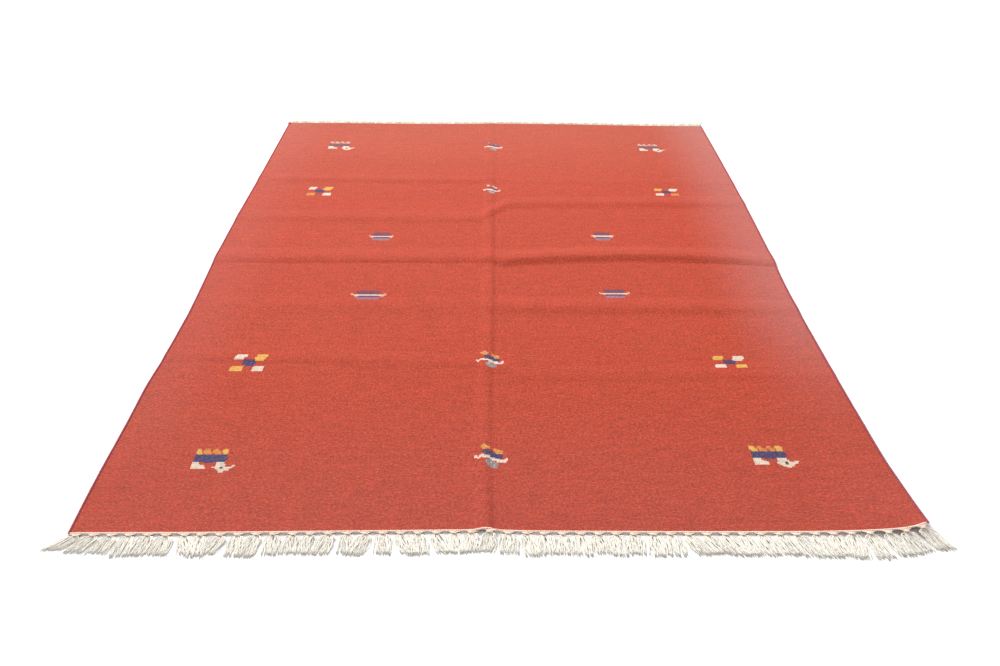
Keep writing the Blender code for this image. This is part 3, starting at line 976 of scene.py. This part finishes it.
    # Painted haze at both sides, added up
    sides = add(tree, "ShaderNodeMath", {0: right, 1: open_end, 2: left},
                operation="MULTIPLY_ADD").outputs[0]
    colour = woven.outputs[2]
    for amount, toward in ((pale, PALE_FIBRE), (far, PAINTED_FAR_SHEEN), (near, NEAR_GREY), (sides, PAINTED_SIDE_HAZE)):
        colour = add(tree, "ShaderNodeMix", {0: amount, 6: colour, 7: linear(toward)},
                     data_type="RGBA").outputs[2]
    tree.links.new(colour, shader.inputs["Base Color"])

    # Fuzz in tufts of 2 mm, drawn coarser than single fibres, and the grooves between beads
    fuzz = fleck(0.002, 0.002, low=0.0, high=0.4)
    height = add(tree, "ShaderNodeMath", {0: fuzz, 1: beads.outputs["Fac"]}, operation="SUBTRACT")
    bump = add(tree, "ShaderNodeBump", {
        "Height": height.outputs[0], "Strength": 0.5, "Distance": 0.0006,
    })
    tree.links.new(bump.outputs[0], shader.inputs["Normal"])
    return material


# Plies in a yarn, and tufts of lint to a metre
PLIES = 2
LINT_PER_METRE = 220.0


def plied_yarn(name, light, dark, roughness, ply_pitch, sheen, sheen_tint):
    """Two-ply yarn: the plies wind round it, with painted shade in the groove between them, and each
    yarn differs a little in shade. Where its piece says so, the red dye has bled into it.
    Real plies turn every 2 or 3 mm, too fine to show, so ply_pitch is longer."""
    material, tree, shader = new_finish(name, roughness, sheen, sheen_tint)
    place = add(tree, "ShaderNodeAttribute", attribute_name="yarn").outputs["Vector"]
    parts = add(tree, "ShaderNodeSeparateXYZ", {0: place}).outputs
    turns = add(tree, "ShaderNodeMath", {0: parts[0], 1: 1 / ply_pitch}, operation="MULTIPLY")
    wound = add(tree, "ShaderNodeMath", {0: turns.outputs[0], 1: parts[1]}, operation="ADD")
    angle = add(tree, "ShaderNodeMath", {0: wound.outputs[0], 1: PLIES * 2 * math.pi},
                operation="MULTIPLY")
    ply = add(tree, "ShaderNodeMath", {0: angle.outputs[0]}, operation="SINE").outputs[0]
    own = add(tree, "ShaderNodeTexWhiteNoise", {"W": parts[2]}, noise_dimensions="1D").outputs[0]
    rest = add(tree, "ShaderNodeTexCoord").outputs["Object"]
    # Lint in tufts of 4.5 mm, coarser than the real hairs, which are too fine to show
    lint = add(tree, "ShaderNodeTexNoise", {
        "Vector": rest, "Scale": LINT_PER_METRE, "Detail": 2.0,
    }).outputs[0]
    # Painted shade: the colour goes toward the dark one in the groove between the plies
    ply_groove_shade = add(tree, "ShaderNodeMapRange", {
        "Value": ply, "From Min": -1.0, "From Max": 0.4, "To Min": 0.0, "To Max": 0.55,
    }).outputs[0]
    varied = add(tree, "ShaderNodeMath", {0: own, 1: 0.25, 2: ply_groove_shade}, operation="MULTIPLY_ADD")
    amount = add(tree, "ShaderNodeMath", {0: lint, 1: 0.35, 2: varied.outputs[0]},
                 operation="MULTIPLY_ADD", use_clamp=True)
    shade = add(tree, "ShaderNodeMix", {0: amount.outputs[0], 6: linear(dark), 7: linear(light)},
                data_type="RGBA")
    bled = add(tree, "ShaderNodeAttribute", attribute_name="bled").outputs["Fac"]
    stained = add(tree, "ShaderNodeMix", {0: bled, 6: shade.outputs[2], 7: linear(BLED_COTTON)},
                  data_type="RGBA")
    tree.links.new(stained.outputs[2], shader.inputs["Base Color"])
    bump = add(tree, "ShaderNodeBump", {"Height": ply, "Strength": 0.35, "Distance": 0.0003})
    tree.links.new(bump.outputs[0], shader.inputs["Normal"])
    return material


# ---------------------------------------------------------------- the studio

FLOOR_HALF = 30.0
FLOOR_DROP = 0.0002
# Where the camera is, in metres, and how many degrees it looks down
CAMERA_ASIDE = 0.009
CAMERA_BACK = 1.372
CAMERA_HIGH = 1.30
CAMERA_DOWN = 31.48


def floor():
    """A studio floor in matt white paint, rolled on: even, without shine, and wide enough to
    fill the camera's view. It lies a little under the rug."""
    half = FLOOR_HALF
    mesh = bpy.data.meshes.new("studio_floor")
    mesh.from_pydata([(-half, -half, 0), (half, -half, 0), (half, half, 0), (-half, half, 0)], [],
                     [(0, 1, 2, 3)])
    material = bpy.data.materials.new("white_floor_paint")
    material.use_nodes = True
    shader = material.node_tree.nodes["Principled BSDF"]
    shader.inputs["Base Color"].default_value = linear("#F4F4F3")
    shader.inputs["Roughness"].default_value = 0.9
    shader.inputs["Specular IOR Level"].default_value = 0.1
    mesh.materials.append(material)
    piece = bpy.data.objects.new("studio_floor", mesh)
    piece.location.z = -FLOOR_DROP
    bpy.context.scene.collection.objects.link(piece)


def light_studio():
    """Soft light from beyond the far end and from all round."""
    scene = bpy.context.scene
    scene.view_settings.view_transform = "Standard"
    world = bpy.data.worlds.new("studio_world")
    world.use_nodes = True
    world.node_tree.nodes["Background"].inputs["Color"].default_value = linear("#FFFFFF")
    world.node_tree.nodes["Background"].inputs["Strength"].default_value = 0.50
    scene.world = world
    sun = bpy.data.lights.new("key_light", "SUN")
    sun.energy = 3.8
    sun.angle = math.radians(18)
    key = bpy.data.objects.new("key_light", sun)
    key.rotation_euler = (math.radians(-60), 0.0, math.radians(28))
    scene.collection.objects.link(key)
    panel = bpy.data.lights.new("softbox", "AREA")
    panel.shape = "RECTANGLE"
    panel.size = 4.0
    panel.size_y = 1.5
    panel.energy = 56.0
    lamp = bpy.data.objects.new("softbox", panel)
    lamp.location = (-0.5, 1.0, 2.6)
    scene.collection.objects.link(lamp)


def place_camera():
    """A camera at chest height before the near end, looking down along the rug."""
    lens = bpy.data.cameras.new("camera")
    lens.lens = 34.0
    lens.sensor_width = 36.0
    lens.shift_x = 0.003
    camera = bpy.data.objects.new("camera", lens)
    near_end = -RUG_LENGTH / 2 + SHIFT_Y
    camera.location = (CAMERA_ASIDE + SHIFT_X, near_end - CAMERA_BACK, CAMERA_HIGH)
    camera.rotation_euler = (math.radians(90 - CAMERA_DOWN), 0.0, 0.0)
    bpy.context.scene.collection.objects.link(camera)
    bpy.context.scene.camera = camera


def shift_to_frame():
    """How far the cloth has to move for its field to have the middle that its frame box has."""
    x, y = loom_to_floor(*np.meshgrid(*field_lines(), indexing="ij"))
    low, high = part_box("woven_field")
    return (low.x + high.x - x.min() - x.max()) / 2, (low.y + high.y - y.min() - y.max()) / 2


SHIFT_X, SHIFT_Y = shift_to_frame()

light_studio()
place_camera()
floor()

wool = flatwoven_wool()
# Dyed wool wound tight over the edge: deep crimson, and matt with a faint bloom of fibres
crimson = plied_yarn(
    "overcast_wool", light="#C66A74", dark="#A24650", roughness=0.90, ply_pitch=0.006,
    sheen=0.25, sheen_tint="#F0C0C4",
)
# Undyed spun cotton left loose: nearly white, with a soft pale bloom
cotton = plied_yarn(
    "warp_cotton", light="#FBF6EC", dark="#F3EBDE", roughness=0.85, ply_pitch=0.004,
    sheen=0.40, sheen_tint="#FFF8F0",
)
# The same cotton twined against the cloth, which has turned it a little pink
cord_cotton = plied_yarn(
    "twined_cotton", light="#FFEFE2", dark="#FADFCE", roughness=0.85, ply_pitch=0.006,
    sheen=0.40, sheen_tint="#FFF0E8",
)

field = kilim_field(wool)
edges = [
    selvedge("overcast_left", "selvedge_left", -1, crimson),
    selvedge("overcast_right", "selvedge_right", 1, crimson),
    twined_cord("twined_cord_near", "end_cord_near", END_CORD_DEEP / 2, 31, cord_cotton),
    twined_cord(
        "twined_cord_far", "end_cord_far", RUG_LENGTH - END_CORD_DEEP / 2, 32, cord_cotton
    ),
    tassels("tassels_near", "fringe_near", False, NEAR_LEANS, NEAR_PARTINGS, 41, cotton),
    tassels("tassels_far", "fringe_far", True, FAR_LEANS, (), 42, cotton),
]
